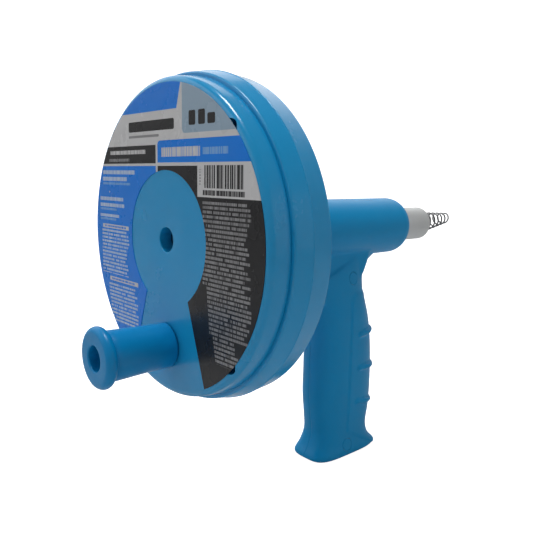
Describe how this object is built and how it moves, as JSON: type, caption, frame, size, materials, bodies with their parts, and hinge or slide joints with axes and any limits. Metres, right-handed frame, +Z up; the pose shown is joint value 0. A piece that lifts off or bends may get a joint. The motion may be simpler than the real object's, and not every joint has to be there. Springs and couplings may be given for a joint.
{
  "type": "drain auger",
  "caption": "Hand-cranked drum auger: pistol grip with a barrel, a spinning cable drum with crank knob, a three-jaw chuck and a wound wire tip.",
  "frame": {"origin": "centre of the drum's back face, at the mouth of the central bore", "axes": "+X along the spindle towards the nose, +Z up, the grip hangs along -Z"},
  "size_m": [0.3244, 0.1874, 0.2597],
  "materials": {
    "drum_plastic": "glossy light blue moulded plastic",
    "grip_plastic": "glossy blue moulded plastic",
    "knob_plastic": "glossy blue moulded plastic",
    "label_print": "laminated print in blue, black, white and grey",
    "chuck_metal": "satin grey turned metal",
    "plated_steel": "zinc plated",
    "black_steel": "blackened spring steel",
    "cable_wire": "drawn spring wire, lightly oiled",
    "nylon": "natural nylon",
    "insert_brass": "knurled",
    "seal_rubber": "matt black"
  },
  "bodies": {
    "grip": {"grip_half_right": "grip_plastic", "grip_half_left": "grip_plastic", "grip_screws": "plated_steel", "screw_caps": "grip_plastic", "thrust_washer": "nylon", "rear_bush": "nylon", "front_bush": "nylon"},
    "drum": {"drum_back_shell": "drum_plastic", "drum_front_shell": "drum_plastic", "drum_screws": "plated_steel", "drum_label": "label_print", "spindle": "plated_steel", "spindle_rivets": "plated_steel", "retaining_ring": "black_steel", "knob_screw": "plated_steel", "knob_washer": "plated_steel", "knob_insert": "insert_brass", "cable_coil": "cable_wire"},
    "crank_knob": {"knob": "knob_plastic"},
    "nut_seal": {"chuck_seal": "seal_rubber"},
    "chuck": {"chuck_nut": "chuck_metal"},
    "jaw_1": {"jaw_top": "plated_steel"},
    "jaw_2": {"jaw_right": "plated_steel"},
    "jaw_3": {"jaw_left": "plated_steel"},
    "cable": {"cable_lead": "cable_wire", "cable_tip": "cable_wire"}
  },
  "joints": [
    {"name": "drum_spin", "type": "hinge", "parent": "grip", "child": "drum", "pos_m": [0.1, 0, 0], "axis": [1, 0, 0], "continuous": true},
    {"name": "knob_spin", "type": "hinge", "parent": "drum", "child": "crank_knob", "pos_m": [-0.02, 0, -0.0605], "axis": [1, 0, 0], "continuous": true},
    {"name": "chuck_travel", "type": "slide", "parent": "drum", "child": "nut_seal", "axis": [1, 0, 0], "range_m": [0, 0.00225]},
    {"name": "chuck_turn", "type": "hinge", "parent": "nut_seal", "child": "chuck", "pos_m": [0.22, 0, 0], "axis": [1, 0, 0], "range_deg": [0, 541]},
    {"name": "jaw_1_slide", "type": "slide", "parent": "drum", "child": "jaw_1", "axis": [0, 0, 1], "range_m": [0, 0.000847]},
    {"name": "jaw_2_slide", "type": "slide", "parent": "drum", "child": "jaw_2", "axis": [0, -0.866, -0.5], "range_m": [0, 0.000847]},
    {"name": "jaw_3_slide", "type": "slide", "parent": "drum", "child": "jaw_3", "axis": [0, 0.866, -0.5], "range_m": [0, 0.000847]},
    {"name": "cable_feed", "type": "slide", "parent": "drum", "child": "cable", "axis": [1, 0, 0], "range_m": [0, 0.12]}
  ],
  "couplings": [
    {"joint": "chuck_turn", "follows": "chuck_travel", "rad_per_m": 4188.8},
    {"joint": "jaw_1_slide", "follows": "chuck_travel", "ratio": 0.3719},
    {"joint": "jaw_2_slide", "follows": "chuck_travel", "ratio": 0.3719},
    {"joint": "jaw_3_slide", "follows": "chuck_travel", "ratio": 0.3719}
  ]
}
